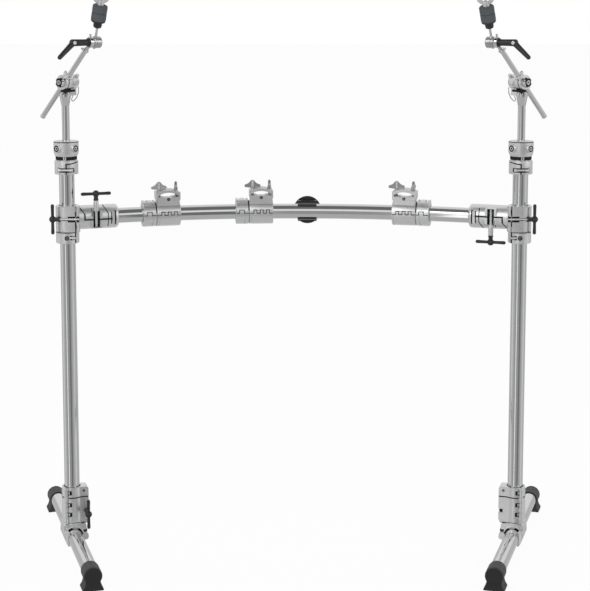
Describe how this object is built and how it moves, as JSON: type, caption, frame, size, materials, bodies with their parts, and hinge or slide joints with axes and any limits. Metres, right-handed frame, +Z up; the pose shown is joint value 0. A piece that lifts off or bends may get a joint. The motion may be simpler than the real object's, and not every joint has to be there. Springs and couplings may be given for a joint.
{
  "type": "drum rack frame",
  "caption": "Front drum rack: two legs on splayed feet, a bowed crossbar with accessory clamps, and short cymbal booms on both legs.",
  "frame": {"origin": "on the floor, at the centre of the bounding box's bottom face, between the two legs", "axes": "+Z up, +X along the rack from the left leg to the right one as the drummer sees it, +Y away from the drummer"},
  "size_m": [1.3544, 0.609, 1.3966],
  "materials": {
    "chrome_tube": "polished chrome plate",
    "chrome_casting": "chrome plated casting, softer reflections",
    "black_plastic": "black moulded plastic, low sheen",
    "rubber": "matte moulded rubber",
    "felt": "dense dark felt"
  },
  "bodies": {
    "left_leg": {"left_leg_tube": "chrome_tube"},
    "left_base": {"left_base_clamp": "chrome_casting", "left_base_tube": "chrome_tube", "left_front_foot": "rubber", "left_rear_foot": "rubber"},
    "left_base_door": {"left_base_door": "chrome_casting"},
    "left_base_handle": {"left_base_handle": "black_plastic"},
    "right_leg": {"right_leg_tube": "chrome_tube"},
    "right_base": {"right_base_clamp": "chrome_casting", "right_base_tube": "chrome_tube", "right_front_foot": "rubber", "right_rear_foot": "rubber"},
    "right_base_door": {"right_base_door": "chrome_casting"},
    "right_base_handle": {"right_base_handle": "black_plastic"},
    "left_clamp": {"left_bar_clamp": "chrome_casting"},
    "bar": {"rack_bar": "chrome_tube", "badge": "black_plastic"},
    "right_clamp": {"right_bar_clamp": "chrome_casting"},
    "left_leg_door": {"left_leg_door": "chrome_casting"},
    "left_leg_handle": {"left_leg_handle": "black_plastic"},
    "left_branch_handle": {"left_branch_handle": "black_plastic"},
    "left_memory_lock": {"left_memory_lock": "chrome_casting"},
    "left_top_clamp": {"left_top_clamp": "chrome_casting"},
    "left_boom_post": {"left_boom_post": "chrome_tube"},
    "left_tilter_head": {"left_tilter_head": "chrome_casting"},
    "left_boom_arm": {"left_boom_arm": "chrome_tube"},
    "left_cymbal_rod": {"left_cymbal_rod": "chrome_tube", "left_cymbal_felts": "felt"},
    "left_tilter_lever": {"left_tilter_lever": "black_plastic"},
    "left_wing_nut": {"left_wing_nut": "chrome_tube"},
    "right_leg_door": {"right_leg_door": "chrome_casting"},
    "right_leg_handle": {"right_leg_handle": "black_plastic"},
    "right_branch_handle": {"right_branch_handle": "black_plastic"},
    "right_memory_lock": {"right_memory_lock": "chrome_casting"},
    "right_top_clamp": {"right_top_clamp": "chrome_casting"},
    "right_boom_post": {"right_boom_post": "chrome_tube"},
    "right_tilter_head": {"right_tilter_head": "chrome_casting"},
    "right_boom_arm": {"right_boom_arm": "chrome_tube"},
    "right_cymbal_rod": {"right_cymbal_rod": "chrome_tube", "right_cymbal_felts": "felt"},
    "right_tilter_lever": {"right_tilter_lever": "black_plastic"},
    "right_wing_nut": {"right_wing_nut": "chrome_tube"},
    "left_bar_mount_collar": {"left_bar_mount_collar": "chrome_casting"},
    "left_bar_mount_block": {"left_bar_mount_block": "chrome_casting"},
    "left_bar_mount_door": {"left_bar_mount_door": "chrome_casting"},
    "left_bar_mount_cap": {"left_bar_mount_cap": "chrome_casting"},
    "left_bar_mount_left_wing": {"left_bar_mount_left_wing": "chrome_tube"},
    "left_bar_mount_right_wing": {"left_bar_mount_right_wing": "chrome_tube"},
    "middle_bar_mount_collar": {"middle_bar_mount_collar": "chrome_casting"},
    "middle_bar_mount_block": {"middle_bar_mount_block": "chrome_casting"},
    "middle_bar_mount_door": {"middle_bar_mount_door": "chrome_casting"},
    "middle_bar_mount_cap": {"middle_bar_mount_cap": "chrome_casting"},
    "middle_bar_mount_left_wing": {"middle_bar_mount_left_wing": "chrome_tube"},
    "middle_bar_mount_right_wing": {"middle_bar_mount_right_wing": "chrome_tube"},
    "right_bar_mount_collar": {"right_bar_mount_collar": "chrome_casting"},
    "right_bar_mount_block": {"right_bar_mount_block": "chrome_casting"},
    "right_bar_mount_door": {"right_bar_mount_door": "chrome_casting"},
    "right_bar_mount_cap": {"right_bar_mount_cap": "chrome_casting"},
    "right_bar_mount_left_wing": {"right_bar_mount_left_wing": "chrome_tube"},
    "right_bar_mount_right_wing": {"right_bar_mount_right_wing": "chrome_tube"}
  },
  "joints": [
    {"name": "left_base_swivel", "type": "hinge", "parent": "left_leg", "child": "left_base", "pos_m": [-0.5635, 0, 0.1], "axis": [0, 0, 1], "continuous": true},
    {"name": "left_base_door_hinge", "type": "hinge", "parent": "left_base", "child": "left_base_door", "pos_m": [-0.57509, -0.02909, 0.114], "axis": [0, 0, -1], "range_deg": [0, 95]},
    {"name": "left_base_handle_turn", "type": "hinge", "parent": "left_base_door", "child": "left_base_handle", "pos_m": [-0.53191, 0.00954, 0.097], "axis": [0.289, -0.9573, 0], "continuous": true},
    {"name": "right_base_swivel", "type": "hinge", "parent": "right_leg", "child": "right_base", "pos_m": [0.5635, 0, 0.1], "axis": [0, 0, 1], "continuous": true},
    {"name": "right_base_door_hinge", "type": "hinge", "parent": "right_base", "child": "right_base_door", "pos_m": [0.57509, -0.02909, 0.114], "axis": [0, 0, 1], "range_deg": [0, 95]},
    {"name": "right_base_handle_turn", "type": "hinge", "parent": "right_base", "child": "right_base_handle", "pos_m": [0.53191, 0.00954, 0.097], "axis": [-0.289, -0.9573, 0], "continuous": true},
    {"name": "bar_height", "type": "slide", "parent": "left_leg", "child": "left_clamp", "axis": [0, 0, 1], "range_m": [-0.5, 0.075]},
    {"name": "left_bar_slide", "type": "slide", "parent": "left_clamp", "child": "bar", "axis": [0.9511, 0.309, 0], "range_m": [0, 0.05]},
    {"name": "right_bar_slide", "type": "slide", "parent": "bar", "child": "right_clamp", "axis": [0.9511, -0.309, 0], "range_m": [0, 0.05]},
    {"name": "right_leg_height", "type": "slide", "parent": "right_clamp", "child": "right_leg", "axis": [0, 0, 1], "range_m": [-0.075, 0.5]},
    {"name": "left_leg_door_hinge", "type": "hinge", "parent": "left_clamp", "child": "left_leg_door", "pos_m": [-0.5635, 0.0342, 0.848], "axis": [0, 0, -1], "range_deg": [0, 95]},
    {"name": "left_leg_handle_turn", "type": "hinge", "parent": "left_leg_door", "child": "left_leg_handle", "pos_m": [-0.5635, -0.025, 0.848], "axis": [1, 0, 0], "continuous": true},
    {"name": "left_branch_handle_turn", "type": "hinge", "parent": "left_clamp", "child": "left_branch_handle", "pos_m": [-0.49132, -0.0021, 0.848], "axis": [0, 0, 1], "continuous": true},
    {"name": "left_memory_lock_slide", "type": "slide", "parent": "left_clamp", "child": "left_memory_lock", "axis": [0, 0, 1], "range_m": [-0.1, 0]},
    {"name": "left_top_clamp_swivel", "type": "hinge", "parent": "left_leg", "child": "left_top_clamp", "pos_m": [-0.5635, 0, 1], "axis": [0, 0, 1], "continuous": true},
    {"name": "left_boom_post_height", "type": "slide", "parent": "left_top_clamp", "child": "left_boom_post", "axis": [0, 0, 1], "range_m": [-0.08, 0.2]},
    {"name": "left_boom_tilt", "type": "hinge", "parent": "left_boom_post", "child": "left_tilter_head", "pos_m": [-0.5635, 0, 1.1865], "axis": [0.5736, 0.8192, 0], "range_deg": [-3, 60]},
    {"name": "left_boom_arm_slide", "type": "slide", "parent": "left_tilter_head", "child": "left_boom_arm", "axis": [0.5374, -0.3763, 0.7547], "range_m": [-0.08, 0.085]},
    {"name": "left_cymbal_tilt", "type": "hinge", "parent": "left_boom_arm", "child": "left_cymbal_rod", "pos_m": [-0.49256, -0.04967, 1.28612], "axis": [0.8387, 0.5446, 0], "range_deg": [-60, 60]},
    {"name": "left_tilter_lever_turn", "type": "hinge", "parent": "left_boom_arm", "child": "left_tilter_lever", "pos_m": [-0.49256, -0.04967, 1.28612], "axis": [0.8387, 0.5446, 0], "range_deg": [-90, 45]},
    {"name": "left_wing_nut_turn", "type": "hinge", "parent": "left_cymbal_rod", "child": "left_wing_nut", "pos_m": [-0.4825, -0.04314, 1.28612], "axis": [0.1863, -0.2868, 0.9397], "continuous": true},
    {"name": "right_leg_door_hinge", "type": "hinge", "parent": "right_clamp", "child": "right_leg_door", "pos_m": [0.5635, 0.0342, 0.848], "axis": [0, 0, 1], "range_deg": [0, 95]},
    {"name": "right_leg_handle_turn", "type": "hinge", "parent": "right_leg_door", "child": "right_leg_handle", "pos_m": [0.5635, -0.025, 0.848], "axis": [1, 0, 0], "continuous": true},
    {"name": "right_branch_handle_turn", "type": "hinge", "parent": "right_clamp", "child": "right_branch_handle", "pos_m": [0.49132, -0.0021, 0.848], "axis": [0, 0, 1], "continuous": true},
    {"name": "right_memory_lock_slide", "type": "slide", "parent": "right_clamp", "child": "right_memory_lock", "axis": [0, 0, 1], "range_m": [-0.1, 0]},
    {"name": "right_top_clamp_swivel", "type": "hinge", "parent": "right_leg", "child": "right_top_clamp", "pos_m": [0.5635, 0, 1], "axis": [0, 0, 1], "continuous": true},
    {"name": "right_boom_post_height", "type": "slide", "parent": "right_top_clamp", "child": "right_boom_post", "axis": [0, 0, 1], "range_m": [-0.08, 0.2]},
    {"name": "right_boom_tilt", "type": "hinge", "parent": "right_boom_post", "child": "right_tilter_head", "pos_m": [0.5635, 0, 1.1865], "axis": [0.5736, -0.8192, 0], "range_deg": [-3, 60]},
    {"name": "right_boom_arm_slide", "type": "slide", "parent": "right_tilter_head", "child": "right_boom_arm", "axis": [-0.5374, -0.3763, 0.7547], "range_m": [-0.08, 0.085]},
    {"name": "right_cymbal_tilt", "type": "hinge", "parent": "right_boom_arm", "child": "right_cymbal_rod", "pos_m": [0.49256, -0.04967, 1.28612], "axis": [-0.866, 0.5, 0], "range_deg": [-60, 60]},
    {"name": "right_tilter_lever_turn", "type": "hinge", "parent": "right_boom_arm", "child": "right_tilter_lever", "pos_m": [0.49256, -0.04967, 1.28612], "axis": [-0.866, 0.5, 0], "range_deg": [-90, 45]},
    {"name": "right_wing_nut_turn", "type": "hinge", "parent": "right_cymbal_rod", "child": "right_wing_nut", "pos_m": [0.48217, -0.04367, 1.28612], "axis": [-0.2034, -0.3522, 0.9135], "continuous": true},
    {"name": "left_bar_mount_travel", "type": "hinge", "parent": "bar", "child": "left_bar_mount_collar", "pos_m": [0, -1.28123, 0.848], "axis": [0, 0, 1], "range_deg": [-3, 1.5]},
    {"name": "left_bar_mount_turn", "type": "hinge", "parent": "left_bar_mount_collar", "child": "left_bar_mount_block", "pos_m": [-0.32007, 0.07414, 0.848], "axis": [0.9732, 0.2298, 0], "range_deg": [-30, 30]},
    {"name": "left_bar_mount_door_hinge", "type": "hinge", "parent": "left_bar_mount_block", "child": "left_bar_mount_door", "pos_m": [-0.31317, 0.04495, 0.8526], "axis": [-0.9732, -0.2298, 0], "range_deg": [0, 90]},
    {"name": "left_bar_mount_cap_lift", "type": "slide", "parent": "left_bar_mount_block", "child": "left_bar_mount_cap", "axis": [0, 0, 1], "range_m": [0, 0.01]},
    {"name": "left_bar_mount_left_wing_turn", "type": "hinge", "parent": "left_bar_mount_cap", "child": "left_bar_mount_left_wing", "pos_m": [-0.34099, 0.0692, 0.908], "axis": [0, 0, 1], "continuous": true},
    {"name": "left_bar_mount_right_wing_turn", "type": "hinge", "parent": "left_bar_mount_cap", "child": "left_bar_mount_right_wing", "pos_m": [-0.29914, 0.07909, 0.908], "axis": [0, 0, 1], "continuous": true},
    {"name": "middle_bar_mount_travel", "type": "hinge", "parent": "bar", "child": "middle_bar_mount_collar", "pos_m": [0, -1.28123, 0.848], "axis": [0, 0, 1], "range_deg": [-1.7, 3]},
    {"name": "middle_bar_mount_turn", "type": "hinge", "parent": "middle_bar_mount_collar", "child": "middle_bar_mount_block", "pos_m": [-0.08351, 0.10892, 0.848], "axis": [0.9982, 0.06, 0], "range_deg": [-30, 30]},
    {"name": "middle_bar_mount_door_hinge", "type": "hinge", "parent": "middle_bar_mount_block", "child": "middle_bar_mount_door", "pos_m": [-0.08171, 0.07897, 0.8526], "axis": [-0.9982, -0.06, 0], "range_deg": [0, 90]},
    {"name": "middle_bar_mount_cap_lift", "type": "slide", "parent": "middle_bar_mount_block", "child": "middle_bar_mount_cap", "axis": [0, 0, 1], "range_m": [0, 0.01]},
    {"name": "middle_bar_mount_left_wing_turn", "type": "hinge", "parent": "middle_bar_mount_cap", "child": "middle_bar_mount_left_wing", "pos_m": [-0.10497, 0.10763, 0.908], "axis": [0, 0, 1], "continuous": true},
    {"name": "middle_bar_mount_right_wing_turn", "type": "hinge", "parent": "middle_bar_mount_cap", "child": "middle_bar_mount_right_wing", "pos_m": [-0.06205, 0.11021, 0.908], "axis": [0, 0, 1], "continuous": true},
    {"name": "right_bar_mount_travel", "type": "hinge", "parent": "bar", "child": "right_bar_mount_collar", "pos_m": [0, -1.28123, 0.848], "axis": [0, 0, 1], "range_deg": [-2.7, 3]},
    {"name": "right_bar_mount_turn", "type": "hinge", "parent": "right_bar_mount_collar", "child": "right_bar_mount_block", "pos_m": [0.28299, 0.08237, 0.848], "axis": [0.9791, -0.2032, 0], "range_deg": [-30, 30]},
    {"name": "right_bar_mount_door_hinge", "type": "hinge", "parent": "right_bar_mount_block", "child": "right_bar_mount_door", "pos_m": [0.27689, 0.05299, 0.8526], "axis": [-0.9791, 0.2032, 0], "range_deg": [0, 90]},
    {"name": "right_bar_mount_cap_lift", "type": "slide", "parent": "right_bar_mount_block", "child": "right_bar_mount_cap", "axis": [0, 0, 1], "range_m": [0, 0.01]},
    {"name": "right_bar_mount_left_wing_turn", "type": "hinge", "parent": "right_bar_mount_cap", "child": "right_bar_mount_left_wing", "pos_m": [0.26194, 0.08674, 0.908], "axis": [0, 0, 1], "continuous": true},
    {"name": "right_bar_mount_right_wing_turn", "type": "hinge", "parent": "right_bar_mount_cap", "child": "right_bar_mount_right_wing", "pos_m": [0.30404, 0.078, 0.908], "axis": [0, 0, 1], "continuous": true}
  ],
  "couplings": [
    {"joint": "right_leg_height", "follows": "bar_height", "ratio": -1}
  ]
}
